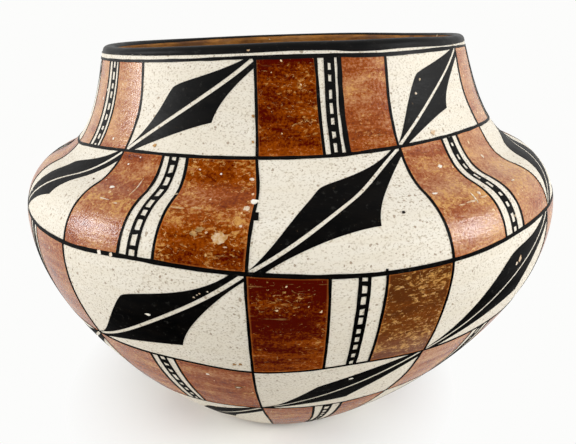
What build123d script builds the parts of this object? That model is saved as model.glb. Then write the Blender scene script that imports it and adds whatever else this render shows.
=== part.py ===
from build123d import *
import math
import os

# A coil-built pueblo jar in millimetres, +Z up, with its origin on the floor under the middle of the foot.
# The outline is drawn flat, with the radius along X and the height along Y. Each piece is a closed
# outline between two lines of the wall, turned once round the Z axis.

# Outside of the clay: four places on the outline, and how hard the curve pulls away from each
foot_radius = 65.5
foot_flare = 46.0
foot_pull = 29.5
belly_radius = 149.5
belly_height = 134.5
belly_pull_down = 52.0
belly_pull_up = 21.0
neck_root_radius = 131.0
shoulder_rise = 30.0
neck_root_lean = 70.0
neck_root_pull_down = 7.5
neck_root_pull_up = 19.0
lip_radius = 98.5
neck_rise = 55.0
lip_lean = 15.0
lip_pull = 25.0

# Clay thicknesses, and the hollow pressed into the underside
wall_thickness = 5.5
lip_thickness = 4.2
base_thickness = 8.0
base_hollow = 9.0
foot_ring_width = 10.0

# Courses of clay: lengths are measured along the outside, from the foot or from the lip
base_reach = 50.0
floor_reach = 14.0
rim_reach = 16.0
wall_courses = 8
joint_lap = 8.0

# Coats of slip and paint
coat_thickness = 0.4
coat_clearance = 0.3
white_slip_start = 4.0
lip_band_drop = 2.2
lip_band_inner_drop = 1.6
neck_slip_reach = 56.0

# Points that carry a wall line along each of the outline's curves
curve_stations = 10


def leaning(angle):
    """Direction that climbs at this many degrees from upright, inwards where the angle is positive."""
    return Vector(-math.sin(math.radians(angle)), math.cos(math.radians(angle)))


# Outline of the clay, from the foot to the lip
foot = Vector(foot_radius, 0)
belly = Vector(belly_radius, belly_height)
neck_root = Vector(neck_root_radius, belly_height + shoulder_rise)
lip = Vector(lip_radius, neck_root.Y + neck_rise)

lower_wall = Bezier(
    foot,
    foot + leaning(-foot_flare) * foot_pull,
    belly - leaning(0) * belly_pull_down,
    belly,
)
shoulder = Bezier(
    belly,
    belly + leaning(0) * belly_pull_up,
    neck_root - leaning(neck_root_lean) * neck_root_pull_down,
    neck_root,
)
neck = Bezier(
    neck_root,
    neck_root + leaning(neck_root_lean) * neck_root_pull_up,
    lip - leaning(lip_lean) * lip_pull,
    lip,
)
outline = (lower_wall, shoulder, neck)
outline_length = sum(curve.length for curve in outline)
lip_direction = neck % 1


def clay_thickness(curve, share):
    """Thickness of the clay at this share of one of the outline's curves, less and less up the neck."""
    thinning = share**2 if curve is neck else 0
    return wall_thickness + (lip_thickness - wall_thickness) * thinning


def wall_line(through, beyond):
    """A line up the wall: through is 0 at the outside of the clay and 1 at its inside, beyond is further in."""
    stations = [(curve, step / curve_stations) for curve in outline for step in range(curve_stations)]
    stations.append((neck, 1))
    points = []
    for curve, share in stations:
        along = curve % share
        depth = clay_thickness(curve, share) * through + beyond
        points.append(curve @ share + Vector(-along.Y, along.X) * depth)
    return Spline(*points)


def above_foot(distance):
    """Share of the outline that lies below a place this far up the wall from the foot."""
    return distance / outline_length


def below_lip(distance):
    """Share of the outline that lies below a place this far down the wall from the lip."""
    return 1 - distance / outline_length


coat_reach = coat_clearance + coat_thickness
slip_face = wall_line(0, -coat_reach)
slip_back = wall_line(0, -coat_clearance)
clay_outside = wall_line(0, 0)
clay_inside = wall_line(1, 0)
neck_back = wall_line(1, coat_clearance)
neck_face = wall_line(1, coat_reach)


def turned(*edges):
    """The solid that a closed outline sweeps in one turn about the Z axis."""
    return revolve(Plane.XZ * make_face(edges), Axis.Z)


def band(outer, inner):
    """A ring between two stretches of wall line, closed across the wall at both ends."""
    return turned(outer, Line(outer @ 1, inner @ 1), inner, Line(inner @ 0, outer @ 0))


def lip_arc(outer_line, inner_line, reach):
    """The round over the lip from one wall line to another, rising this far above their ends."""
    middle = (outer_line @ 1 + inner_line @ 1) * 0.5
    return ThreePointArc(outer_line @ 1, middle + lip_direction * reach, inner_line @ 1)


pieces = {}

# Base: clay pressed into a shallow mould, hollow underneath, standing on a flat ring
lap = above_foot(joint_lap)
base_top = above_foot(base_reach)
floor_edge = above_foot(floor_reach)
ring_inside = Vector(foot_radius - foot_ring_width, 0)
hollow_top = Vector(0, base_hollow)
floor_top = hollow_top + Vector(0, base_thickness)
base_outer = clay_outside.trim(0, base_top)
base_inner = clay_inside.trim(floor_edge, base_top - lap)
base_floor = Spline(
    floor_top,
    ring_inside + Vector(0, base_thickness),
    base_inner @ 0,
    tangents=(Vector(1, 0), base_inner % 0),
)
pieces["base_slab"] = turned(
    TangentArc(hollow_top, ring_inside, tangent=Vector(1, 0)),
    Line(ring_inside, clay_outside @ 0),
    base_outer,
    Line(base_outer @ 1, base_inner @ 1),
    base_inner,
    base_floor,
    Line(floor_top, hollow_top),
)

# Wall: courses of pinched coil, each lapped over the inside of the one below
rim_foot = below_lip(rim_reach)
course_share = (rim_foot - base_top) / wall_courses
for course in range(wall_courses):
    low = base_top + course * course_share
    high = low + course_share
    pieces[f"wall_coil_{course + 1}"] = band(
        clay_outside.trim(low, high),
        clay_inside.trim(low - lap, high - lap),
    )

# Rim: the last coil, drawn up and rounded into the lip
rim_outer = clay_outside.trim(rim_foot, 1)
rim_inner = clay_inside.trim(rim_foot - lap, 1)
pieces["rim_coil"] = turned(
    rim_outer,
    lip_arc(clay_outside, clay_inside, lip_thickness / 2),
    rim_inner,
    Line(rim_inner @ 0, rim_outer @ 0),
)

# White slip: the coat outside, from just above the foot ring to the black lip band
slip_start = above_foot(white_slip_start)
band_start = below_lip(lip_band_drop)
pieces["white_slip"] = band(
    slip_face.trim(slip_start, band_start),
    slip_back.trim(slip_start, band_start),
)

# Neck slip: the orange coat inside the neck, up to the lip band
inner_band_start = below_lip(lip_band_inner_drop)
neck_slip_start = below_lip(neck_slip_reach)
pieces["neck_slip"] = band(
    neck_back.trim(neck_slip_start, inner_band_start),
    neck_face.trim(neck_slip_start, inner_band_start),
)

# Lip band: black paint over the round of the lip, between the two slips
band_outside = slip_face.trim(band_start, 1)
band_inside = neck_face.trim(inner_band_start, 1)
band_back_outside = slip_back.trim(band_start, 1)
band_back_inside = neck_back.trim(inner_band_start, 1)
pieces["lip_band"] = turned(
    band_outside,
    lip_arc(slip_face, neck_face, lip_thickness / 2 + coat_reach),
    band_inside,
    Line(band_inside @ 0, band_back_inside @ 0),
    band_back_inside,
    lip_arc(slip_back, neck_back, lip_thickness / 2 + coat_clearance),
    band_back_outside,
    Line(band_back_outside @ 0, band_outside @ 0),
)

os.makedirs("parts", exist_ok=True)
for name, piece in pieces.items():
    export_step(piece, f"parts/{name}.step")
print(f"wall {outline_length:.1f} mm from foot to lip, {len(pieces)} pieces")
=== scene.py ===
import bisect
import math
import random
import bmesh
import bpy
from mathutils import Matrix, Vector, noise


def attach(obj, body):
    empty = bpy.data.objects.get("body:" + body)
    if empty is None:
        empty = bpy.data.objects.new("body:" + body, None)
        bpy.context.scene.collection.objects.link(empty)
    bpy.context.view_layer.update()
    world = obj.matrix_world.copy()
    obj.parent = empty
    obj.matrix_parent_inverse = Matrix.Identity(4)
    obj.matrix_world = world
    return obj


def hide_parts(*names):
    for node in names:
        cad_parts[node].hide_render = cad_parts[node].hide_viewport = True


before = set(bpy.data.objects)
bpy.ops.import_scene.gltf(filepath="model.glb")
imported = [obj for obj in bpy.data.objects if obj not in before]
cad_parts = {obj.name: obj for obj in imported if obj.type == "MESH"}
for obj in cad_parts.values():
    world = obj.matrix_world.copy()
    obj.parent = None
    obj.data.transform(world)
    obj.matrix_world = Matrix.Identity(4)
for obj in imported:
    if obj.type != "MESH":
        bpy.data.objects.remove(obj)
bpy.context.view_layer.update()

# Base: a pat of buff clay pressed into a shallow mould, dished underneath, standing on a flat ring.
# The wall coils are lapped over its edge. The jar's outline is drawn here, in millimetres.
to_metres = 0.001
wall_thickness = 5.5
lip_thickness = 4.2
coat_reach = 0.7
floor_thickness = 8.0
underside_hollow = 9.0
foot_ring_width = 10.0
base_reach = 50.0
floor_reach = 14.0
joint_lap = 8.0

# Four places on the outside of the clay, and how the outline leans and pulls away from each
foot = Vector((65.5, 0))
foot_flare = 46
foot_pull = 29.5
belly = Vector((149.5, 134.5))
belly_pull_down = 52
belly_pull_up = 21
neck_root = Vector((131.0, 164.5))
neck_root_lean = 70
neck_root_pull_down = 7.5
neck_root_pull_up = 19
lip = Vector((98.5, 219.5))
lip_lean = 15
lip_pull = 25


def leaning(angle, length):
    """A step of this length that climbs at this many degrees from upright, inwards where positive."""
    return Vector((-math.sin(math.radians(angle)), math.cos(math.radians(angle)))) * length


outline = (
    (foot, foot + leaning(-foot_flare, foot_pull), belly - leaning(0, belly_pull_down), belly),
    (belly, belly + leaning(0, belly_pull_up),
     neck_root - leaning(neck_root_lean, neck_root_pull_down), neck_root),
    (neck_root, neck_root + leaning(neck_root_lean, neck_root_pull_up),
     lip - leaning(lip_lean, lip_pull), lip),
)


def bezier(curve, share):
    """Place and direction at this share along a cubic curve given by its four points."""
    a, b, c, d = curve
    rest = 1 - share
    place = a * rest**3 + b * 3 * rest**2 * share + c * 3 * rest * share**2 + d * share**3
    along = (b - a) * rest**2 + (c - b) * 2 * rest * share + (d - c) * share**2
    return place, along.normalized()


# Stations up the face of the slip: length from the foot, place, direction out of the wall and
# thickness of the clay
curve_steps = 160
stations = []
for curve in outline:
    for step in range(curve_steps + 1):
        share = step / curve_steps
        place, along = bezier(curve, share)
        outwards = Vector((along.y, -along.x))
        face = place + outwards * coat_reach
        thinning = share**2 if curve is outline[-1] else 0.0
        clay = wall_thickness + (lip_thickness - wall_thickness) * thinning
        length = stations[-1][0] + (face - stations[-1][1]).length if stations else 0.0
        stations.append((length, face, outwards, clay))
lengths = [station[0] for station in stations]
wall_length = lengths[-1]


def wall_at(along, out=0.0, through=0.0):
    """Radius and height this far up the wall, out from the slip's face, less a share of the clay."""
    along = min(max(along, 0.0), wall_length)
    upper = min(max(bisect.bisect(lengths, along), 1), len(stations) - 1)
    low, high = stations[upper - 1], stations[upper]
    share = (along - low[0]) / max(high[0] - low[0], 1e-9)
    depth = (low[3] + (high[3] - low[3]) * share) * through
    return low[1].lerp(high[1], share) + low[2].lerp(high[2], share).normalized() * (out - depth)


def run(low, high, out, steps, through=0.0):
    """Places up the wall between two lengths, as wall_at() gives them."""
    return [wall_at(low + (high - low) * step / steps, out, through) for step in range(steps + 1)]


def hand_line(points):
    """Value of a line drawn round the jar, smooth through places given as an angle and a value."""
    spots = [(angle + 360 * turn, value) for turn in (-1, 0, 1) for angle, value in points]
    angles = [spot[0] for spot in spots]

    def value_at(angle):
        here = bisect.bisect(angles, (angle + 180) % 360 - 180)
        before, first, second, after = spots[here - 2:here + 2]
        span = second[0] - first[0]
        share = ((angle + 180) % 360 - 180 - first[0]) / span
        leave = (second[1] - before[1]) / (second[0] - before[0]) * span
        reach = (after[1] - first[1]) / (after[0] - first[0]) * span
        square, cube = share * share, share**3
        return (first[1] * (2 * cube - 3 * square + 1) + leave * (cube - 2 * square + share)
                + second[1] * (3 * square - 2 * cube) + reach * (cube - square))

    return value_at


# Hand building: the jar bows and tips to one side, is pressed a little out of round above its foot,
# and its rim isn't level
jar_height = 222
side_bow = 17.9
side_tip = 4.3
side_start = -3.3
press_spacing = 42
press_depth = 0.35
press_full_height = 25
press_full_radius = 50
uneven_start = 215.5
uneven_span = 4.5
rim_level = hand_line([
    (-172, 0.3), (-137, -0.9), (-105, -1.6), (-85, -2.2), (-65, -2.9), (-45, -3.0), (-25, -2.3), (0, -1.15),
    (15, -1.0), (33, -0.5), (48, -0.7), (62, -0.5), (80, 0.2), (118, 0.3), (150, 0.9),
])


def stand(place, angle):
    """The jar's point at this radius, height and angle, with the lean and unevenness of hand building."""
    radius, height = place
    turn = math.radians(angle)
    rise = height / jar_height
    lean = side_bow * rise * (1 - rise) + side_tip * rise + side_start
    pressed = Vector((math.sin(turn) * radius, math.cos(turn) * radius, height)) / press_spacing
    pressing = min(1.0, max(0.0, height) / press_full_height, radius / press_full_radius)
    radius += noise.noise(pressed) * press_depth * pressing
    near_rim = min(max((height - uneven_start) / uneven_span, 0.0), 1.0)
    height += rim_level(angle) * near_rim * near_rim * (3 - 2 * near_rim)
    return Vector((radius * math.sin(turn) + lean, -radius * math.cos(turn), height)) * to_metres


def patch(mesh, columns, rows, place, tones_up=(0.5, 0.5)):
    """Lays a grid on the jar and returns its corners, each where place() puts its shares across and up.

    Tones are for the foot, then up to the top in equal steps."""
    tones = mesh.verts.layers.float.get("tone") or mesh.verts.layers.float.new("tone")
    corners = bmesh.ops.create_grid(mesh, x_segments=columns, y_segments=rows, size=0.5)["verts"]
    for corner in corners:
        spot = (corner.co.y + 0.5) * (len(tones_up) - 1)
        here = min(int(spot), len(tones_up) - 2)
        corner[tones] = tones_up[here] + (tones_up[here + 1] - tones_up[here]) * (spot - here)
        corner.co = place(corner.co.x + 0.5, corner.co.y + 0.5)
    return corners


merge_distance = 2e-6
sharp_angle = 50


def piece(name, mesh, material, replaced=()):
    """Makes an object of the mesh, smooth but for its sharp edges, and fixes it to the jar."""
    bmesh.ops.remove_doubles(mesh, verts=mesh.verts, dist=merge_distance)
    bmesh.ops.recalc_face_normals(mesh, faces=mesh.faces)
    data = bpy.data.meshes.new(name)
    mesh.to_mesh(data)
    mesh.free()
    data.shade_smooth()
    data.set_sharp_from_angle(angle=math.radians(sharp_angle))
    data.materials.append(material)
    made = bpy.data.objects.new(name, data)
    bpy.context.scene.collection.objects.link(made)
    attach(made, "root")
    if replaced:
        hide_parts(*replaced)


def turned(name, profile, columns, material):
    """A profile of radius and height turned about the axis, in place of the solid of the same node."""
    mesh = bmesh.new()
    steps = len(profile) - 1

    def place(across, up):
        return stand(profile[round(up * steps)], across * 360 - 180)

    patch(mesh, columns, steps, place)
    piece(name, mesh, material, [name.removesuffix("_shape")])


def srgb(red, green, blue):
    """A colour as a shader takes it, from its three values between 0 and 255."""
    values = [value / 255 for value in (red, green, blue)]
    linear = [value / 12.92 if value < 0.04045 else ((value + 0.055) / 1.055) ** 2.4 for value in values]
    return linear + [1.0]


def node(tree, kind, inputs, **settings):
    """Adds a shader node, with values or links for its inputs by name or number."""
    made = tree.nodes.new("ShaderNode" + kind)
    for key, value in settings.items():
        setattr(made, key, value)
    for key, value in inputs.items():
        if isinstance(value, bpy.types.NodeSocket):
            tree.links.new(value, made.inputs[key])
        else:
            made.inputs[key].default_value = value
    return made


def new_finish(name):
    """A new material, its node tree, its main shader and the place on the jar that its patterns follow."""
    material = bpy.data.materials.new(name)
    material.use_nodes = True
    tree = material.node_tree
    return material, tree, tree.nodes["Principled BSDF"], node(tree, "TexCoord", {}).outputs["Object"]


def grain(tree, where, stretch, size, detail=4.0, rough=0.55):
    """Cloudy pattern between 0 and 1, its features this big in metres, with a scale on each axis."""
    scaled = node(tree, "Mapping", {"Vector": where, "Scale": stretch}).outputs["Vector"]
    inputs = {"Vector": scaled, "Scale": 1 / size, "Detail": detail, "Roughness": rough}
    return node(tree, "TexNoise", inputs).outputs["Fac"]


def ramp(tree, value, low, high, start=0.0, end=1.0):
    """Stretches the part of a pattern between low and high over start to end."""
    inputs = {"Value": value, "From Min": low, "From Max": high, "To Min": start, "To Max": end}
    return node(tree, "MapRange", inputs).outputs["Result"]


def tint(tree, share, first, second):
    """First colour where the share is 0, second where it is 1."""
    return node(tree, "Mix", {0: share, 6: first, 7: second}, data_type="RGBA").outputs[2]


def maths(tree, operation, *values):
    """One step of arithmetic on patterns and values."""
    return node(tree, "Math", dict(enumerate(values)), operation=operation).outputs[0]


def flecks(tree, where, spacing, empty, size):
    """Ragged specks: 1 inside one, 0 elsewhere.

    Empty is the share of places without one, and size is in spacings."""
    wobble = {"Vector": where, "Scale": 2.2 / spacing, "Detail": 3.0}
    ragged = node(tree, "TexNoise", wobble).outputs["Color"]
    shift = {0: ragged, 1: (spacing * 0.5,) * 3, 2: where}
    moved = node(tree, "VectorMath", shift, operation="MULTIPLY_ADD").outputs[0]
    cells = node(tree, "TexVoronoi", {"Vector": moved, "Scale": 1 / spacing})
    chance = node(tree, "SeparateColor", {0: cells.outputs["Color"]}).outputs[0]
    reach = ramp(tree, chance, empty, 1.0, 0.0, size)
    return maths(tree, "LESS_THAN", cells.outputs["Distance"], reach)


def bump(tree, shader, height, depth):
    """Raises the surface by a pattern, this deep in metres, over any bump that it has already."""
    made = node(tree, "Bump", {"Height": height, "Strength": 1.0, "Distance": depth})
    for link in shader.inputs["Normal"].links:
        tree.links.new(link.from_socket, made.inputs["Normal"])
    tree.links.new(made.outputs["Normal"], shader.inputs["Normal"])


dark_clay = srgb(171, 143, 113)
pale_clay = srgb(203, 178, 146)
brown_grit = srgb(118, 92, 68)
fired_clay, tree, shader, where = new_finish("scraped_clay")
scraped = grain(tree, where, (1, 1, 7), 0.014)
grit = grain(tree, where, (1, 1, 1), 0.0016, 3.0)
colour = tint(tree, ramp(tree, scraped, 0.35, 0.68), dark_clay, pale_clay)
colour = tint(tree, ramp(tree, grit, 0.60, 0.72), colour, brown_grit)
tree.links.new(colour, shader.inputs["Base Color"])
shader.inputs["Roughness"].default_value = 0.85
bump(tree, shader, scraped, 0.0008)

clay_out = -coat_reach
clay_columns = 96
dish_steps = 12
outer_steps = 14
inner_steps = 12
ring_inside = Vector((foot.x - foot_ring_width, 0))
dish_radius = (ring_inside.x**2 + underside_hollow**2) / (2 * underside_hollow)
dish_turn = math.asin(ring_inside.x / dish_radius)
underside = []
for step in range(dish_steps + 1):
    turn = dish_turn * step / dish_steps
    height = underside_hollow - dish_radius * (1 - math.cos(turn))
    underside.append(Vector((dish_radius * math.sin(turn), height)))

# The inside floor: a curve down from the wall to above the foot ring, then a low dome to the middle
rise_steps = 5
dome_steps = 12
inner_start = wall_at(floor_reach, clay_out, 1)
inner_pull = Vector((5, 4.5))
floor_edge = ring_inside + Vector((0, floor_thickness))
edge_pull_out = Vector((6, 0.2))
edge_pull_in = Vector((12, 0.4))
floor_middle = Vector((0, underside_hollow + floor_thickness))
middle_pull = Vector((26, 0))
floor_rise = (inner_start, inner_start - inner_pull, floor_edge + edge_pull_out, floor_edge)
floor_dome = (floor_edge, floor_edge - edge_pull_in, floor_middle + middle_pull, floor_middle)
bowl = [bezier(floor_rise, step / rise_steps)[0] for step in range(1, rise_steps)]
bowl += [bezier(floor_dome, step / dome_steps)[0] for step in range(dome_steps + 1)]
base_profile = (
    underside
    + run(0, base_reach, clay_out, outer_steps)
    + run(base_reach - joint_lap, floor_reach, clay_out, inner_steps, 1)
    + bowl
)
turned("base_slab_shape", base_profile, clay_columns, fired_clay)

# Wall coils: ropes of clay pinched thin and lapped over the inside of the course below, then scraped.
# The inside keeps a low swell across each course where fingers drew the clay up.
courses = 8
course_steps = 12
rim_reach = 16.0
finger_swell = 0.5
course_rise = (wall_length - rim_reach - base_reach) / courses
for course in range(courses):
    low = base_reach + course * course_rise
    high = low + course_rise
    outside = run(low, high, clay_out, course_steps)
    inside = []
    for step in range(course_steps + 1):
        swell = finger_swell * math.sin(math.pi * step / course_steps)
        along = high - joint_lap - course_rise * step / course_steps
        inside.append(wall_at(along, clay_out - swell, 1))
    coil_profile = outside + inside + outside[:1]
    turned(f"wall_coil_{course + 1}_shape", coil_profile, clay_columns, fired_clay)

# Rim coil: the last rope of buff clay, lapped inside the top wall coil. It is drawn up with the fingers
# and rounded over into the lip with a wet leather. Turns over the lip are in degrees from the outside.
rim_outer_steps = 8
rim_round_steps = 7
rim_inner_steps = 10
round_start = 20
round_end = 160
lip_up = (lip - outline[-1][2]).normalized()
lip_outwards = Vector((lip_up.y, -lip_up.x))
lip_middle = wall_at(wall_length, clay_out, 0.5)


def round_over(radius, first, last, steps):
    """Places on the round of the lip, this far from its middle, between two turns."""
    places = []
    for step in range(steps + 1):
        turn = math.radians(first + (last - first) * step / steps)
        across = lip_outwards * radius * math.cos(turn)
        places.append(lip_middle + across + lip_up * radius * math.sin(turn))
    return places


rim_outside = run(wall_length - rim_reach, wall_length, clay_out, rim_outer_steps)
rim_profile = (
    rim_outside
    + round_over(lip_thickness / 2, round_start, round_end, rim_round_steps)
    + run(wall_length, wall_length - rim_reach - joint_lap, clay_out, rim_inner_steps, 1)
    + rim_outside[:1]
)
turned("rim_coil_shape", rim_profile, clay_columns, fired_clay)

# White slip: thin cream clay wiped over the outside in several coats and rubbed with a smooth stone.
# Sand shows through it as brown specks, and the wiping leaves faint level marks.
slip_start = 4.0
slip_steps = 126
slip_columns = 192
coat_seat = 0.05
brown_sand = srgb(158, 140, 112)
cream = srgb(229, 223, 210)
wiped_cream = srgb(219, 209, 188)
cloudy_cream = srgb(226, 218, 200)
tan_stain = srgb(186, 168, 138)
brown_speck = srgb(140, 117, 90)
white_slip, tree, shader, where = new_finish("stone_polished_slip")
wiped = grain(tree, where, (1, 1, 9), 0.03)
clouds = grain(tree, where, (1, 1, 1), 0.05, 3.0)
sand = grain(tree, where, (1, 1, 1.4), 0.0009, 3.0, 0.6)
stain = grain(tree, where, (1, 1, 3), 0.007, 5.0, 0.7)
specks = flecks(tree, where, 0.0025, 0.4, 0.28)
colour = tint(tree, ramp(tree, sand, 0.31, 0.48), brown_sand, cream)
colour = tint(tree, ramp(tree, wiped, 0.38, 0.66, 0.4, 0.0), colour, wiped_cream)
colour = tint(tree, ramp(tree, clouds, 0.45, 0.75, 0.0, 0.4), colour, cloudy_cream)
colour = tint(tree, ramp(tree, stain, 0.60, 0.80, 0.0, 0.5), colour, tan_stain)
colour = tint(tree, ramp(tree, specks, 0, 1, 0, 0.7), colour, brown_speck)
tree.links.new(colour, shader.inputs["Base Color"])
tree.links.new(ramp(tree, wiped, 0.3, 0.7, 0.46, 0.6), shader.inputs["Roughness"])
shader.inputs["Specular IOR Level"].default_value = 0.2
bump(tree, shader, wiped, 0.0003)
bump(tree, shader, sand, 0.00006)
slip_face = run(slip_start, wall_length, 0.0, slip_steps)
slip_back = run(wall_length, slip_start, clay_out + coat_seat, slip_steps)
slip_profile = slip_face + slip_back + slip_face[:1]
turned("white_slip_shape", slip_profile, slip_columns, white_slip)

# Neck slip: orange-brown slip brushed round the inside of the neck by hand, in level streaks. It starts
# low in the neck and goes up over the inside of the lip, under the lip paint.
neck_slip_reach = 56.0
neck_steps = 30
neck_round_steps = 6
neck_round_end = 104
neck_round_start = 170
neck_columns = 128
dark_streak = srgb(92, 52, 14)
orange_brown = srgb(172, 114, 42)
thin_orange = srgb(176, 132, 84)
deep_brown = srgb(74, 42, 14)
pale_chip = srgb(206, 182, 146)
orange_slip, tree, shader, where = new_finish("brushed_orange_slip")
streaks = grain(tree, where, (1, 1, 5), 0.012, 6.0, 0.75)
patches = grain(tree, where, (1, 1, 2), 0.03)
colour = tint(tree, ramp(tree, streaks, 0.35, 0.66), dark_streak, orange_brown)
colour = tint(tree, ramp(tree, patches, 0.56, 0.72, 0.0, 0.45), colour, thin_orange)
colour = tint(tree, ramp(tree, patches, 0.35, 0.52, 0.75, 0.0), colour, deep_brown)
colour = tint(tree, flecks(tree, where, 0.006, 0.7, 0.22), colour, pale_chip)
tree.links.new(colour, shader.inputs["Base Color"])
shader.inputs["Roughness"].default_value = 0.6
shader.inputs["Specular IOR Level"].default_value = 0.3
bump(tree, shader, streaks, 0.0004)
lip_reach = lip_thickness / 2 + coat_reach
neck_low = wall_length - neck_slip_reach
neck_face = run(neck_low, wall_length, clay_out - coat_reach, neck_steps, 1)
neck_face += round_over(lip_reach, neck_round_start, neck_round_end, neck_round_steps)
neck_back = round_over(lip_thickness / 2 + coat_seat, neck_round_end, neck_round_start, neck_round_steps)
neck_back += run(wall_length, neck_low, clay_out - coat_seat, neck_steps, 1)
neck_profile = neck_face + neck_back + neck_face[:1]
turned("neck_slip_shape", neck_profile, neck_columns, orange_slip)

# Lip band: black mineral and plant paint over the round of the lip, with edges drawn by hand.
# It is worn brownish where it is thin, with small chips that show pale clay.
black = srgb(1, 1, 1)
brown_black = srgb(10, 8, 6)
dust = srgb(58, 57, 54)
worn_brown = srgb(96, 78, 58)
clay_chip = srgb(176, 158, 130)
black_paint, tree, shader, where = new_finish("black_mineral_paint")
thin = grain(tree, where, (1, 1, 3), 0.012, 5.0, 0.65)
worn = grain(tree, where, (1, 1, 1), 0.0022, 4.0, 0.7)
dusty = grain(tree, where, (1, 1, 1.3), 0.0026, 4.0, 0.7)
height = node(tree, "SeparateXYZ", {0: where}).outputs["Z"]
colour = tint(tree, ramp(tree, thin, 0.40, 0.75), black, brown_black)
colour = tint(tree, ramp(tree, dusty, 0.59, 0.74, 0.0, 0.6), colour, dust)
colour = tint(tree, ramp(tree, worn, 0.66, 0.78, 0.0, 0.6), colour, worn_brown)
colour = tint(tree, flecks(tree, where, 0.006, 0.86, 0.14), colour, clay_chip)
tree.links.new(colour, shader.inputs["Base Color"])
tree.links.new(ramp(tree, thin, 0.3, 0.7, 0.36, 0.5), shader.inputs["Roughness"])
tree.links.new(ramp(tree, height, 0.12, 0.215, 0.002, 0.085), shader.inputs["Specular IOR Level"])
bump(tree, shader, thin, 0.0002)
bump(tree, shader, dusty, 0.00005)

# Lengths up the wall of the outer edge, and turns over the lip of the inner edge, round the jar
lip_edge = hand_line([
    (-140, 264.4), (-90, 263.9), (-65, 263.4), (-40, 263.3), (-25, 264.1), (-8, 265.1), (0, 265.6),
    (11, 265.3), (14, 264.5), (21, 264.3), (28, 264.9), (45, 265.1), (60, 265.9), (80, 266.2),
    (110, 265.2), (140, 264.6),
])
lip_inner_edge = hand_line([
    (-150, 133), (-125, 146), (-100, 146), (-70, 140), (-20, 126), (30, 124), (80, 128), (120, 132),
    (165, 127),
])
lip_film = 0.2
lip_depth = 0.3
wall_steps = 10
lip_steps = 24
lip_columns = 192


def on_lip(across, up):
    """Place on the lip paint: up the wall from its outer edge, then over the round to its inner edge."""
    angle = across * 360 - 180
    step = round(up * lip_steps)
    if step < wall_steps:
        edge = lip_edge(angle)
        return stand(wall_at(edge + (wall_length - edge) * step / wall_steps, lip_film), angle)
    turn = lip_inner_edge(angle) * (step - wall_steps) / (lip_steps - wall_steps)
    return stand(round_over(lip_reach + lip_film, turn, turn, 1)[0], angle)


def thicken(mesh, depth):
    """Gives a film its thickness, by a second skin this many millimetres under the first."""
    bmesh.ops.remove_doubles(mesh, verts=mesh.verts, dist=merge_distance)
    bmesh.ops.recalc_face_normals(mesh, faces=mesh.faces)
    mesh.normal_update()
    under = [(vertex, vertex.co - vertex.normal * depth * to_metres) for vertex in mesh.verts]
    bmesh.ops.extrude_face_region(mesh, geom=mesh.faces, use_keep_orig=True)
    for vertex, place in under:
        vertex.co = place


lip_mesh = bmesh.new()
patch(lip_mesh, lip_columns, lip_steps, on_lip)
thicken(lip_mesh, lip_depth)
piece("lip_band_shape", lip_mesh, black_paint, ["lip_band"])

# Frame lines: black rings and uprights brushed freehand in the same paint, which part the wall into five
# rows of twelve panels. Angles are in degrees from the front, lengths in millimetres up the slip's face.
row_count = 5
panel_count = 12
rings = [
    hand_line([
        (-140, 261.4), (-90, 260.8), (-48, 260.6), (-25, 261.5), (-8, 262.6), (10, 263.0), (20, 262.6),
        (30, 262.9), (50, 263.9), (90, 263.2), (140, 262.0),
    ]),
    hand_line([
        (-140, 219.5), (-100, 216.5), (-75, 215.5), (-65, 215.8), (-55, 218.2), (-44, 220.2), (-34, 221.5),
        (-8, 222.3), (7, 222.6), (22, 224.0), (40, 225.4), (55, 225.4), (90, 223.0), (140, 221.0),
    ]),
    hand_line([
        (-140, 173.5), (-90, 172.4), (-40, 172.3), (-29.5, 173.8), (-22, 174.2), (-7, 172.6), (3, 171.4),
        (12, 170.6), (28, 171.6), (40, 173.8), (50, 174.8), (90, 173.6), (140, 172.6),
    ]),
    hand_line([
        (-140, 124.6), (-90, 124.0), (-35, 123.4), (-20, 124.7), (-8, 122.3), (0, 123.6), (10, 125.9),
        (22, 125.1), (35, 125.4), (90, 124.0), (140, 125.0),
    ]),
    hand_line([
        (-140, 76.0), (-90, 73.0), (-40, 70.0), (-22, 73.9), (-10, 77.2), (0, 78.5), (10, 80.6), (22, 84.7),
        (60, 82.0), (100, 78.0), (140, 77.0),
    ]),
    hand_line([(-120, 12.0), (0, 12.0), (120, 12.0)]),
]
upright_angles = [-65.6, -40.2, -7.4, 22.5, 52.3, 82.6, 112.8, 143.1, 173.4, 203.6, 233.9, 264.1]
upright_drift = 0.5
# Angles of the uprights that face front, from the foot of each row to its top
seen_uprights = {
    (0, 1): (-39.2, -37.7, -38.1),
    (0, 2): (-7.3, -7.5, -7.5),
    (0, 3): (22.1, 22.4, 23.5),
    (0, 4): (52.7, 51.3, 52.5),
    (1, 0): (-65.7, -65.3, -65.5),
    (1, 1): (-40.6, -40.3, -39.4),
    (1, 2): (-7.4, -7.0, -6.65, -7.35),
    (1, 3): (23.1, 22.4, 22.3),
    (1, 4): (52.6, 53.1, 51.3, 52.65),
    (2, 1): (-39.9, -40.8, -41.0),
    (2, 2): (-7.6, -7.5, -7.6),
    (2, 3): (22.0, 22.2, 23.05),
    (2, 4): (52.0, 51.6, 51.5),
    (3, 2): (-7.5, -7.7, -7.65),
    (3, 3): (21.2, 21.9, 21.8),
    (4, 2): (-6.0, -6.4, -7.4),
    (4, 3): (22.3, 21.6, 21.0),
}
hand = random.Random(7)
uprights = {}
for row in range(row_count):
    for index, angle in enumerate(upright_angles):
        drift = [angle + hand.uniform(-upright_drift, upright_drift) for turn in range(3)]
        uprights[row, index] = seen_uprights.get((row, index), drift)


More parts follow.
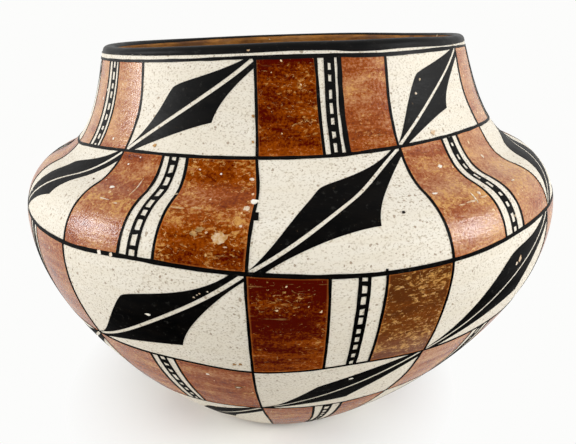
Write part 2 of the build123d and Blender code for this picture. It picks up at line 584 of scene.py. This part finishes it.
def upright(row, index, up):
    """Angle of an upright at this share up its row."""
    angles = uprights[row, index % panel_count]
    last = len(angles) - 1
    spot = up * last
    here = min(max(int(spot), 0), last - 1)
    share = spot - here
    before, first, second, after = (angles[min(max(here + step, 0), last)] for step in (-1, 0, 1, 2))
    bend = (second - before) / 2 * share * (1 - share) ** 2 - (after - first) / 2 * (1 - share) * share**2
    rise = share * share * (3 - 2 * share)
    return first + (second - first) * rise + bend + 360 * (index // panel_count)


def in_panel(row, panel, across, up):
    """Angle and length up the wall at these shares across and up a panel."""
    left = upright(row, panel, up)
    angle = left + (upright(row, panel + 1, up) - left) * across
    low, high = rings[row + 1](angle), rings[row](angle)
    return angle, low + (high - low) * up


look_ahead = 0.002
edge_spacing = 2
stroke_rows = 2


def stroke(mesh, path, width, steps, lift, ragged=0.28, waves=160):
    """One brush line along a path of angles and lengths, of this mean width in millimetres."""

    def place(share, side):
        angle, along = path(share)
        near, far = path(share - look_ahead), path(share + look_ahead)
        radius = wall_at(along).x
        step = Vector((math.radians(far[0] - near[0]) * radius, far[1] - near[1])).normalized()
        spread = noise.noise(stand(wall_at(along + side * edge_spacing), angle) * waves)
        reach = (side - 0.5) * width * (1 + ragged * spread)
        angle -= math.degrees(step.y * reach / radius)
        return stand(wall_at(along + step.x * reach, lift), angle)

    patch(mesh, steps, stroke_rows, place)


line_lift = 0.2
film_depth = 0.24
ring_steps = 300
upright_steps = 24
ring_widths = (1.3, 1.5, 1.7, 1.1, 0.8)
upright_widths = (1.3, 1.25, 1.1, 1.0, 1.0)
frame_mesh = bmesh.new()
for height_at, width in zip(rings, ring_widths):

    def ring_path(share):
        angle = share * 360 - 180
        return angle, height_at(angle)

    stroke(frame_mesh, ring_path, width, ring_steps, line_lift)
for row, index in uprights:

    def upright_path(share):
        return in_panel(row, index, 0.0, share)

    stroke(frame_mesh, upright_path, upright_widths[row], upright_steps, line_lift)

# A heavier stretch of the top ring, a thick drip on one upright and a smear of the brush on a ring
heavy_start = -8
heavy_span = 58
heavy_drop = 0.35
heavy_width = 1.5
heavy_steps = 60
heavy_lift = line_lift + 0.01
drip_angle = -6.4
drip_low = 192.6
drip_length = 3.6
drip_width = 2.0
drip_steps = 4
drip_lift = line_lift + 0.02
smear_angle = 12.2
smear_low = 170.4
smear_length = 1.9
smear_width = 0.9
smear_steps = 3


def heavy_path(share):
    angle = heavy_span * share + heavy_start
    return angle, rings[0](angle) - heavy_drop


def drip_path(share):
    return drip_angle, drip_low + drip_length * share


def smear_path(share):
    return smear_angle, smear_low + smear_length * share


stroke(frame_mesh, heavy_path, heavy_width, heavy_steps, heavy_lift)
stroke(frame_mesh, drip_path, drip_width, drip_steps, drip_lift)
stroke(frame_mesh, smear_path, smear_width, smear_steps, drip_lift)
thicken(frame_mesh, film_depth)
piece("frame_lines", frame_mesh, black_paint)

# Ladder strips: in each rust panel, a bare white strip between two black lines, with a ladder of two lines
# and short black rungs up its middle. Shares across the panel, at its foot, half way up and at its top.
plain_strip = ((0.41, 0.48, 0.53, 0.60),) * 3
seen_strips = {
    (0, 0): ((0.376, 0.463, 0.537, 0.60),) * 3,
    (0, 2): ((0.452, 0.509, 0.56, 0.62), (0.45, 0.513, 0.566, 0.617), (0.442, 0.516, 0.566, 0.619)),
    (1, 1): ((0.385, 0.44, 0.488, 0.575), (0.384, 0.442, 0.487, 0.57), (0.365, 0.425, 0.478, 0.547)),
    (1, 3): ((0.397, 0.468, 0.512, 0.583),) * 3,
    (2, 0): ((0.33, 0.40, 0.45, 0.52),) * 3,
    (2, 2): ((0.391, 0.522, 0.562, 0.645), (0.385, 0.52, 0.562, 0.647), (0.379, 0.519, 0.562, 0.649)),
    (3, 1): ((0.40, 0.465, 0.51, 0.558), (0.408, 0.467, 0.512, 0.568), (0.42, 0.47, 0.515, 0.572)),
    (4, 2): ((0.51, 0.57, 0.62, 0.74), (0.465, 0.535, 0.59, 0.69), (0.42, 0.505, 0.565, 0.645)),
}
# Rungs of the strips that face front: share up the row and length in millimetres, from the foot
seen_rungs = {
    (0, 0): ((0.07, 2.2), (0.18, 2.2), (0.29, 2.9), (0.42, 2.0), (0.55, 2.3), (0.67, 1.4), (0.77, 1.6),
             (0.90, 1.9)),
    (0, 2): ((0.02, 0.9), (0.15, 2.5), (0.28, 2.8), (0.40, 1.7), (0.55, 1.6), (0.70, 4.1), (0.83, 1.5),
             (0.95, 2.4)),
    (1, 1): ((0.08, 1.5), (0.21, 1.8), (0.33, 1.8), (0.42, 1.5), (0.55, 2.3), (0.68, 2.1), (0.81, 2.1),
             (0.93, 2.1)),
    (1, 3): ((0.07, 2.1), (0.19, 2.8), (0.29, 3.1), (0.39, 3.3), (0.51, 2.8), (0.64, 3.1), (0.75, 2.2),
             (0.86, 4.0), (0.96, 2.7)),
    (2, 2): ((0.09, 2.7), (0.20, 2.6), (0.31, 1.7), (0.41, 1.6), (0.51, 2.1), (0.62, 1.2), (0.72, 2.0),
             (0.83, 1.3), (0.93, 1.6)),
    (3, 1): ((0.12, 2.7), (0.25, 2.8), (0.39, 2.8), (0.52, 3.2), (0.69, 2.3), (0.80, 2.8), (0.91, 3.1)),
}
strip_drift = 0.02
strip_steps = 22
strip_line_widths = (1.35, 1.3, 1.15, 1.1, 1.2)
seen_line_widths = {(0, 2): (1.35, 1.55, 1.6, 2.1), (2, 2): (1.15, 1.45, 1.4, 1.15)}
strip_lift = 0.19
rung_counts = (8, 8, 9, 8, 9)
rung_drift = 0.15
rung_lengths = (1.4, 2.9)
rung_steps = 4
rung_ragged = 0.55
rung_waves = 420
rung_lift = 0.17


def line_across(strip, line, up):
    """Share across the panel of one of the four lines of a strip, at this share up it."""
    low, middle, high = (level[line] for level in strip)
    return low * (1 - up) * (1 - 2 * up) + middle * 4 * up * (1 - up) + high * up * (2 * up - 1)


strips = {}
ladder_mesh = bmesh.new()
for row in range(row_count):
    for panel in range(panel_count):
        if (row + panel) % 2:
            continue
        shift = hand.uniform(-strip_drift, strip_drift)
        strip = seen_strips.get((row, panel), [[share + shift for share in level] for level in plain_strip])
        strips[row, panel] = strip
        widths = seen_line_widths.get((row, panel), [strip_line_widths[row]] * 4)
        for line in range(4):

            def line_path(share):
                return in_panel(row, panel, line_across(strip, line, share), share)

            stroke(ladder_mesh, line_path, widths[line], strip_steps, strip_lift)
        drawn = []
        for rung in range(rung_counts[row]):
            up = (rung + 0.5 + hand.uniform(-rung_drift, rung_drift)) / rung_counts[row]
            drawn.append((up, hand.uniform(*rung_lengths)))
        for up, length in seen_rungs.get((row, panel), drawn):

            def rung_path(share):
                left, right = line_across(strip, 1, up), line_across(strip, 2, up)
                return in_panel(row, panel, left + (right - left) * share, up)

            stroke(ladder_mesh, rung_path, length, rung_steps, rung_lift, rung_ragged, rung_waves)
thicken(ladder_mesh, film_depth)
piece("ladder_strips", ladder_mesh, black_paint)

# Rust panels: iron slip brushed in level strokes on both sides of each ladder strip, thin and uneven,
# rubbed to a soft sheen. Each field has its own depth of colour, and its edge is a thin paler line.
# The pale pink end of the colour is partly thin slip and partly painted sheen on the fields toward the
# sides.
dark_rust = srgb(74, 8, 0)
rust = srgb(142, 64, 2)
pale_rust_and_sheen = srgb(195, 144, 98)
worn_rust = srgb(90, 53, 20)
thin_rust = srgb(206, 156, 84)
scuff = srgb(210, 162, 96)
scratch = srgb(222, 180, 120)
edge_orange = srgb(206, 120, 52)
slip_speck = srgb(222, 194, 152)
hollow_height = 0.162
rust_paint, tree, shader, where = new_finish("rust_slip")
tone = node(tree, "Attribute", {}, attribute_name="tone").outputs["Fac"]
edge = node(tree, "Attribute", {}, attribute_name="edge").outputs["Fac"]
rub = node(tree, "Attribute", {}, attribute_name="rub").outputs["Fac"]
height = node(tree, "SeparateXYZ", {0: where}).outputs["Z"]
brushed = grain(tree, where, (1, 1, 10), 0.045, 6.0, 0.62)
mottled = grain(tree, where, (1, 1, 1.6), 0.016, 6.0, 0.65)
rubbed = grain(tree, where, (1, 1, 2.2), 0.0022, 5.0, 0.7)
scuffed = grain(tree, where, (1, 1, 11), 0.016, 5.0, 0.7)
pitted = grain(tree, where, (1, 1, 1.2), 0.0012, 3.0, 0.65)
wander = grain(tree, where, (1, 1, 1.6), 0.008, 2.0)
depth = maths(tree, "ADD", tone, ramp(tree, brushed, 0.3, 0.7, -0.24, 0.24))
depth = maths(tree, "ADD", depth, ramp(tree, mottled, 0.3, 0.7, -0.24, 0.24))
depth = maths(tree, "ADD", depth, ramp(tree, pitted, 0.3, 0.7, -0.27, 0.27))
colour = tint(tree, ramp(tree, depth, 0.0, 0.5), dark_rust, rust)
# High tones run to a pale pink rust: partly thin slip, partly painted sheen where side fields have high
# tones
colour = tint(tree, ramp(tree, depth, 0.5, 1.1), colour, pale_rust_and_sheen)
# A field rubbed hardest has lost its red and is brown
colour = tint(tree, ramp(tree, rub, 0.042, 0.06, 0.0, 0.65), colour, worn_rust)
# Rubbed thin in patches, and most of all along the hollow where the neck begins
from_hollow = maths(tree, "ABSOLUTE", maths(tree, "SUBTRACT", height, hollow_height))
thin = maths(tree, "ADD", rubbed, ramp(tree, mottled, 0.35, 0.65, -0.09, 0.09))
thin = maths(tree, "ADD", thin, ramp(tree, from_hollow, 0.0, 0.005, 0.1, 0.0))
thin = maths(tree, "ADD", thin, rub)
colour = tint(tree, ramp(tree, thin, 0.59, 0.70, 0.0, 0.7), colour, thin_rust)
colour = tint(tree, ramp(tree, scuffed, 0.64, 0.74, 0.0, 0.5), colour, scuff)
line = maths(tree, "COMPARE", wander, 0.5, 0.005)
line = maths(tree, "MULTIPLY", line, ramp(tree, thin, 0.5, 0.62, 0.0, 0.7))
colour = tint(tree, line, colour, scratch)
colour = tint(tree, ramp(tree, edge, 0.45, 1.0, 0.4, 0.0), colour, edge_orange)
colour = tint(tree, flecks(tree, where, 0.004, 0.7, 0.16), colour, slip_speck)
tree.links.new(colour, shader.inputs["Base Color"])
tree.links.new(ramp(tree, mottled, 0.3, 0.7, 0.17, 0.29), shader.inputs["Roughness"])
pale_sheen = ramp(tree, tone, 0.4, 0.7, 0.01, 0.38)
sheen = maths(tree, "MULTIPLY", pale_sheen, ramp(tree, height, 0.08, 0.125, 0.12, 1.0))
tree.links.new(sheen, shader.inputs["Specular IOR Level"])
bump(tree, shader, brushed, 0.0003)
bump(tree, shader, pitted, 0.00018)

# Tone of the left and right field, from foot to top, and wear, of the panels that face front. The high
# tones of the fields toward the sides are partly painted sheen: the gloss of the side lamps, painted into
# the colour.
seen_tones = {
    (0, 0): ((0.85, 0.85), (0.85, 0.85)),
    (0, 2): ((0.34, 0.14, 0.0), (0.5, 0.58, 0.56)),
    (0, 4): ((0.85, 0.85), (0.85, 0.85)),
    (1, 1): ((0.66, 0.62, 0.5), (0.2, 0.42, 0.55, 0.1)),
    (1, 3): ((0.85, 0.65, 0.7), (0.85, 0.85)),
    (2, 0): ((0.75, 0.75), (0.65, 0.65)),
    (2, 2): ((0.28, 0.2, -0.2), (0.54, 0.36, -0.14)),
    (2, 4): ((0.65, 0.65), (0.65, 0.65)),
    (3, 1): ((0.6, 0.6), (0.52, 0.52)),
    (3, 3): ((0.75, 0.75), (0.7, 0.7)),
    (4, 2): ((0.55, 0.55), (0.55, 0.55)),
}
seen_rubs = {(0, 2): (-0.005, 0.01), (1, 1): (0.0, 0.03), (1, 3): (0.04, 0.02), (2, 2): (-0.015, 0.062)}
plain_tones = (0.25, 0.7)
plain_rubs = (0.01, 0.01)
rust_lift = 0.11
rust_edge = 1.4
field_columns = 11
field_rows = 22
field_width = 32
field_height = 46


def from_edge(step, steps, span):
    """Share across a field at a step of its grid, with its outer steps as narrow as the pale edge."""
    if step in (0, steps):
        return step / steps
    border = rust_edge / span
    return border + (1 - 2 * border) * (step - 1) / (steps - 2)


for row in range(row_count):
    rust_mesh = bmesh.new()
    for layer in ("tone", "edge", "rub"):
        rust_mesh.verts.layers.float.new(layer)
    layers = rust_mesh.verts.layers.float
    for panel in range(panel_count):
        if (row, panel) not in strips:
            continue
        drawn = [[hand.uniform(*plain_tones) for turn in range(3)] for field in range(2)]
        tones = seen_tones.get((row, panel), drawn)
        rubs = seen_rubs.get((row, panel), plain_rubs)
        for field in range(2):

            def place(across, up):
                across = from_edge(round(across * field_columns), field_columns, field_width)
                up = from_edge(round(up * field_rows), field_rows, field_height)
                line = line_across(strips[row, panel], 3 * field, up)
                share = across * line if field == 0 else line + (1 - line) * across
                angle, along = in_panel(row, panel, share, up)
                return stand(wall_at(along, rust_lift), angle)

            corners = patch(rust_mesh, field_columns, field_rows, place, tones[field])
            for corner in corners:
                corner[layers["edge"]] = 0.0 if corner.is_boundary else 1.0
                corner[layers["rub"]] = rubs[field]
    thicken(rust_mesh, film_depth)
    piece(f"rust_panels_row_{row + 1}", rust_mesh, rust_paint)

# Leaves: in each white panel, two half leaves in black paint on either side of a bare white rib that runs
# from the lower left corner to the upper right. The upper half has a round shoulder, the lower half a
# sharp corner. Places are shares across and up the panel.

# For each leaf: its shoulder, its corner, and the sag of its rib, low down and high up
plain_leaf = ((0.355, 0.73), (0.65, 0.34), (0.0, 0.0))
seen_leaves = {
    (0, 1): ((0.33, 0.724), (0.673, 0.36), (-0.14, 0.01)),
    (0, 3): ((0.315, 0.755), (0.61, 0.315), (-0.065, 0.0)),
    (1, 0): ((0.36, 0.765), (0.58, 0.338), (-0.03, -0.03)),
    (1, 2): ((0.375, 0.727), (0.65, 0.335), (0.0, -0.11)),
    (2, 1): ((0.39, 0.66), (0.663, 0.237), (0.1, 0.1)),
    (2, 3): ((0.495, 0.828), (0.70, 0.32), (0.015, 0.015)),
    (3, 2): ((0.385, 0.62), (0.63, 0.221), (0.09, 0.09)),
    (4, 1): ((0.48, 0.755), (0.65, 0.43), (0.0, 0.0)),
}
# How each edge leaves its foot, comes to the turn, leaves the turn and comes to its end
plain_upper = ((0.1, 0.12), (-0.075, -0.08), (0.075, 0.07), (-0.235, -0.15))
seen_uppers = {
    (0, 1): ((0.1, 0.13), (-0.07, -0.085), (0.075, 0.075), (-0.245, -0.15)),
    (0, 3): ((0.075, 0.115), (-0.085, -0.115), (0.065, 0.055), (-0.245, -0.11)),
    (1, 2): ((0.1, 0.12), (-0.075, -0.07), (0.075, 0.07), (-0.2, -0.165)),
    (2, 1): ((0.16, 0.08), (-0.055, -0.07), (0.06, 0.06), (-0.2, -0.27)),
    (2, 3): ((0.15, 0.16), (-0.115, -0.08), (0.1, 0.055), (-0.25, -0.16)),
    (3, 2): ((0.13, 0.01), (-0.065, -0.12), (0.065, 0.07), (-0.225, -0.14)),
}
plain_lower = ((0.13, 0.115), (-0.2, -0.06), (0.03, 0.175), (-0.2, -0.21))
seen_lowers = {
    (1, 2): ((0.13, 0.17), (-0.2, -0.005), (0.015, 0.175), (-0.2, -0.215)),
    (2, 1): ((0.13, 0.115), (-0.2, -0.06), (0.037, 0.215), (-0.14, -0.16)),
    (3, 2): ((0.13, 0.115), (-0.2, -0.06), (0.03, 0.14), (-0.13, -0.2)),
}
leaf_drift = 0.03
leaf_columns = 36
leaf_rows = 8
leaf_lift = 0.13
rib_widths = (1.0, 0.65, 0.6, 0.65, 0.6)
seen_rib_widths = {(0, 1): 0.85, (0, 3): 0.7, (1, 2): 0.58}
rib_foot_gap = 0.03
rib_top_gap_across = 0.025
rib_top_gap_up = 0.035
upper_end = 0.945
lower_start = 0.07
plain_tip = 0.905
seen_tips = {(1, 2): 0.93, (2, 1): 0.95}


def leaf_half(shape, upper, lower, tip, rib_width, half, share, side):
    """Shares across and up the panel in half a leaf, from its rib at side 0 to its outer edge at side 1."""
    shoulder, corner, sags = shape
    foot_gap = rib_foot_gap * rib_width
    if half == 0:
        turn, ends, pulls = shoulder, ((0.0, foot_gap), (upper_end, 1.0)), upper
        rib = ((0.0, foot_gap), (1 - rib_top_gap_across * rib_width, 1.0))
    else:
        turn, ends, pulls = corner, ((lower_start, 0.0), (1.0, tip)), lower
        rib = ((foot_gap, 0.0), (1.0, 1 - rib_top_gap_up * rib_width))
    start, turn, end = Vector(ends[0]), Vector(turn), Vector(ends[1])
    first = (start, start + Vector(pulls[0]), turn + Vector(pulls[1]), turn)
    second = (turn, turn + Vector(pulls[2]), end + Vector(pulls[3]), end)
    outer = bezier(first, share * 2)[0] if share < 0.5 else bezier(second, share * 2 - 1)[0]
    spread = (outer.x + outer.y - start.x - start.y) / (end.x + end.y - start.x - start.y)
    sag = 3 * spread * (1 - spread) * (sags[0] * (1 - spread) + sags[1] * spread)
    middle = Vector(rib[0]).lerp(Vector(rib[1]), spread) - Vector((0, sag))
    return middle.lerp(outer, side)


for row in range(row_count):
    leaf_mesh = bmesh.new()
    for panel in range(panel_count):
        if (row, panel) in strips:
            continue
        vary = [hand.uniform(-leaf_drift, leaf_drift) for turn in range(5)]
        drawn = (
            (plain_leaf[0][0] + vary[0], plain_leaf[0][1] + vary[1]),
            (plain_leaf[1][0] + vary[2], plain_leaf[1][1] + vary[3]),
            (vary[4], vary[4]),
        )
        shape = seen_leaves.get((row, panel), drawn)
        upper = seen_uppers.get((row, panel), plain_upper)
        lower = seen_lowers.get((row, panel), plain_lower)
        tip = seen_tips.get((row, panel), plain_tip)
        rib_width = seen_rib_widths.get((row, panel), rib_widths[row])
        for half in range(2):

            def place(share, side):
                side = side if half == 0 else 1 - side
                across, up = leaf_half(shape, upper, lower, tip, rib_width, half, share, side)
                angle, along = in_panel(row, panel, across, up)
                return stand(wall_at(along, leaf_lift), angle)

            patch(leaf_mesh, leaf_columns, leaf_rows, place)
    thicken(leaf_mesh, film_depth)
    piece(f"leaves_row_{row + 1}", leaf_mesh, black_paint)

# Worn spots: small places where the paint has flaked or rubbed off to the slip, and a few brown or black
# drips on the slip. Each is a thin ragged film, pale, tan or dark, as its tone says.
spot_dark = srgb(16, 11, 8)
spot_tan = srgb(186, 142, 84)
spot_pale = srgb(240, 234, 221)
spot_finish, tree, shader, where = new_finish("worn_spot")
tone = node(tree, "Attribute", {}, attribute_name="tone").outputs["Fac"]
sandy = grain(tree, where, (1, 1, 1), 0.0016, 4.0, 0.7)
tone = maths(tree, "ADD", tone, ramp(tree, sandy, 0.3, 0.7, -0.22, 0.16))
colour = tint(tree, ramp(tree, tone, 0.0, 0.5), spot_dark, spot_tan)
colour = tint(tree, ramp(tree, tone, 0.5, 0.95), colour, spot_pale)
tree.links.new(colour, shader.inputs["Base Color"])
shader.inputs["Roughness"].default_value = 0.7
shader.inputs["Specular IOR Level"].default_value = 0.2
bump(tree, shader, sandy, 0.0001)
# Angle, length up the wall, width, height and tone of the spots that face front
spots = [
    (-7, 202, 3.0, 2.5, 1.0), (-8, 198, 2.2, 2.2, 0.75), (-8, 213, 1.6, 1.3, 0.85),
    (-31.5, 173.5, 2.1, 2.1, 0.85), (-29, 173.8, 1.5, 1.8, 0.88), (-35.5, 202, 2.5, 1.5, 1.0),
    (30, 212.5, 1.9, 1.6, 0.9), (44.5, 211.5, 1.8, 1.8, 0.8), (24, 199, 2.2, 0.9, 1.0),
    (31, 193, 0.6, 4.5, 0.85),
    (-11.5, 185, 5.0, 4.6, 0.6), (-15.4, 186.3, 3.0, 2.2, 0.37), (-14.6, 187.9, 3.2, 2.2, 0.37),
    (-13.5, 187, 1.0, 0.9, 0.6), (-18.5, 216.5, 0.8, 0.7, 0.85), (-14, 215, 0.9, 0.7, 0.9),
    (-8.5, 190, 1.1, 0.8, 0.65), (-10.5, 182, 1.5, 0.5, 0.65), (-33.5, 219, 0.9, 0.7, 0.9),
    (-36, 215, 0.9, 0.9, 0.9), (-34.5, 195, 5.0, 0.45, 0.85), (-30, 204.5, 0.45, 8.0, 0.7),
    (-16, 116.5, 1.5, 1.0, 1.0), (-11, 106.5, 3.0, 2.0, 0.2), (-11, 106.5, 1.7, 1.1, 1.0),
    (-10.5, 127.5, 1.3, 1.2, 0.35), (-9.5, 128, 1.2, 1.1, 0.4), (9.5, 113, 2.0, 1.0, 1.0),
    (-54.5, 246.5, 1.4, 1.6, 1.0), (-57, 242, 1.1, 1.6, 1.0), (-45, 225, 1.2, 1.2, 1.0),
    (-42.5, 203.5, 1.0, 0.8, 0.1), (16.5, 192.5, 1.2, 1.2, 0.0), (32.5, 228, 2.6, 2.2, 0.7),
    (30.5, 245.5, 1.3, 1.0, 0.8), (39.5, 160.4, 2.0, 3.2, 0.62), (38.6, 159, 1.4, 1.6, 0.8),
    (-23.3, 150.6, 2.2, 1.1, 1.0), (-15.1, 162.2, 0.7, 0.5, 0.8), (-14.2, 164, 0.8, 0.5, 0.7),
    (-13, 165.1, 0.6, 0.5, 0.8), (-14.6, 163.3, 0.5, 0.4, 0.75), (-30.7, 225.2, 1.8, 1.4, 0.5),
    (-8.2, 239.4, 1.2, 1.4, 0.45), (-8.2, 228.9, 1.0, 1.0, 0.45), (-42.8, 264.6, 1.0, 0.8, 0.85),
    (-39.4, 265.4, 1.1, 0.8, 0.8), (-47, 265.6, 0.7, 0.6, 0.8), (-8.9, 266.7, 1.3, 0.8, 0.75),
    (30, 191.6, 5.5, 0.8, 0.66), (33, 192.2, 3.5, 0.6, 0.75), (32.7, 194.4, 1.6, 1.6, 0.8),
    (27.6, 191.2, 3.0, 0.5, 0.62), (-31.5, 194.2, 2.2, 0.6, 0.7), (-19.5, 196.3, 5.0, 0.9, 0.58),
    (-16.3, 197, 4.0, 0.7, 0.55), (44.2, 194.3, 3.0, 0.6, 0.75), (37.3, 206.9, 0.5, 4.5, 0.75),
]
# Spots on the sides and the back: how many, and the ranges that they are drawn from
far_spots = 40
far_widths = (0.8, 2.6)
far_angles = (65, 300)
far_lengths = (60, 255)
far_shapes = (0.5, 1.1)
far_tones = (0.55, 1.0)
for turn in range(far_spots):
    width = hand.uniform(*far_widths)
    angle = hand.uniform(*far_angles)
    along = hand.uniform(*far_lengths)
    height = width * hand.uniform(*far_shapes)
    spots.append((angle, along, width, height, hand.uniform(*far_tones)))
spot_lift = 0.27
spot_depth = 0.2
spot_ragged = 0.5
spot_waves = 1.6
spot_columns = 20
spot_rows = 2
spot_mesh = bmesh.new()
for spot_angle, spot_along, width, height, spot_tone in spots:

    def place(across, up):
        turn = across * 2 * math.pi
        out = Vector((math.cos(turn), math.sin(turn)))
        spread = Vector((out.x * spot_waves + spot_angle, out.y * spot_waves, spot_along))
        reach = 0.5 * up * (1 + spot_ragged * noise.fractal(spread, 0.6, 2.0, 3))
        along = spot_along + out.y * reach * height
        radius = wall_at(along).x
        return stand(wall_at(along, spot_lift), spot_angle + math.degrees(out.x * reach * width / radius))

    patch(spot_mesh, spot_columns, spot_rows, place, (spot_tone, spot_tone))
thicken(spot_mesh, spot_depth)
piece("worn_spots", spot_mesh, spot_finish)

# Floor and backdrop: one sheet of white paper that lies under the jar and curves up behind it. The paper
# takes the jar's shadow close by and is plain white further off, where it glows for the camera and glosses.
# The glow is painted light: it fades the shadow out with distance from a point a little to the jar's left,
# so the shadow on the jar's right is painted lighter. Sizes are in metres.
shadow_middle = (-0.018, 0, 0)
shadow_full = 0.056
shadow_end = 0.134
front = -1.2
bend_start = 1.0
bend_radius = 0.5
bend_step = 9
top = 1.4
sheet_width = 4.4


def looked_at(tree):
    """1 for rays from the camera, straight, off a gloss or through glass, and 0 for the light on things."""
    path = node(tree, "LightPath", {}).outputs
    looked = maths(tree, "MAXIMUM", path["Is Camera Ray"], path["Is Glossy Ray"])
    return maths(tree, "MAXIMUM", looked, path["Is Transmission Ray"])


paper, tree, shader, where = new_finish("white_paper")
shader.inputs["Base Color"].default_value = srgb(238, 236, 231)
shader.inputs["Roughness"].default_value = 0.9
shader.inputs["Specular IOR Level"].default_value = 0.1
away = node(tree, "VectorMath", {0: where, 1: shadow_middle}, operation="DISTANCE").outputs["Value"]
plain = maths(tree, "MULTIPLY", looked_at(tree), ramp(tree, away, shadow_full, shadow_end, 0.04, 1.0))
glow = node(tree, "Emission", {"Color": srgb(252, 252, 251), "Strength": 1.0})
both = node(tree, "MixShader", {0: plain, 1: shader.outputs[0], 2: glow.outputs[0]})
tree.links.new(both.outputs[0], tree.nodes["Material Output"].inputs["Surface"])
side_line = [Vector((0, front, 0)), Vector((0, bend_start, 0))]
for degrees in range(bend_step, 91, bend_step):
    turn = math.radians(degrees)
    depth = bend_start + bend_radius * math.sin(turn)
    side_line.append(Vector((0, depth, bend_radius * (1 - math.cos(turn)))))
side_line.append(Vector((0, bend_start + bend_radius, top)))
sheet = bmesh.new()
bmesh.ops.create_grid(sheet, x_segments=1, y_segments=len(side_line) - 1, size=0.5)
for vertex in sheet.verts:
    spot = side_line[round((vertex.co.y + 0.5) * (len(side_line) - 1))]
    vertex.co = Vector((vertex.co.x * sheet_width, spot.y, spot.z))
data = bpy.data.meshes.new("paper_sheet")
sheet.to_mesh(data)
sheet.free()
data.shade_smooth()
data.materials.append(paper)
backdrop = bpy.data.objects.new("paper_sheet", data)
bpy.context.scene.collection.objects.link(backdrop)

# Light: a soft box on each side of the jar, a broad soft fill from the front that leaves no gloss, and even
# light from all round.
even_light = 0.28
world = bpy.data.worlds.new("studio")
world.use_nodes = True
tree = world.node_tree
background = tree.nodes["Background"]
background.inputs["Color"].default_value = srgb(250, 250, 250)
tree.links.new(ramp(tree, looked_at(tree), 0.0, 1.0, even_light, 1.0), background.inputs["Strength"])
bpy.context.scene.world = world


def soft_box(name, place, target, width, height, watts):
    """A flat lamp of this size in metres that faces the target."""
    lamp = bpy.data.lights.new(name, "AREA")
    lamp.shape = "RECTANGLE"
    lamp.size, lamp.size_y, lamp.energy = width, height, watts
    made = bpy.data.objects.new(name, lamp)
    made.location = place
    made.rotation_euler = (Vector(target) - Vector(place)).to_track_quat("-Z", "Y").to_euler()
    bpy.context.scene.collection.objects.link(made)
    return made


soft_box("left_box", (-1.03, -0.154, 0.46), (0, 0, 0.14), 0.24, 0.34, 6.8)
soft_box("right_box", (1.0, -0.344, 0.444), (0, 0, 0.14), 0.3, 0.28, 6.8)
fill = soft_box("front_fill", (0.0, -1.0, 1.55), (0, 0, 0.12), 1.2, 0.8, 14.6)
fill.visible_glossy = False

# Camera: close to the jar, at the height of its rim and looking down, fitted to the outline and the
# painted lines. Its focal length is in pixels of an image of this width.
camera_place = Vector((-0.0033, -0.30703, 0.22499))
pitch, yaw, roll = math.radians(21.026), math.radians(0.997), math.radians(-1.02)
focal_pixels = 497.95
image_width = 576
sensor_width = 36.0
forward = Vector((math.sin(yaw) * math.cos(pitch), math.cos(yaw) * math.cos(pitch), -math.sin(pitch)))
level = Vector((math.cos(yaw), -math.sin(yaw), 0))
above = level.cross(forward)
right = level * math.cos(roll) + above * math.sin(roll)
up = above * math.cos(roll) - level * math.sin(roll)
lens = bpy.data.cameras.new("camera")
lens.sensor_fit = "HORIZONTAL"
lens.sensor_width = sensor_width
lens.lens = focal_pixels / image_width * sensor_width
lens.clip_start = 0.01
camera = bpy.data.objects.new("camera", lens)
turn = Matrix((right, up, -forward)).transposed().to_4x4()
camera.matrix_world = Matrix.Translation(camera_place) @ turn
bpy.context.scene.collection.objects.link(camera)
bpy.context.scene.camera = camera
bpy.context.scene.view_settings.view_transform = "Standard"
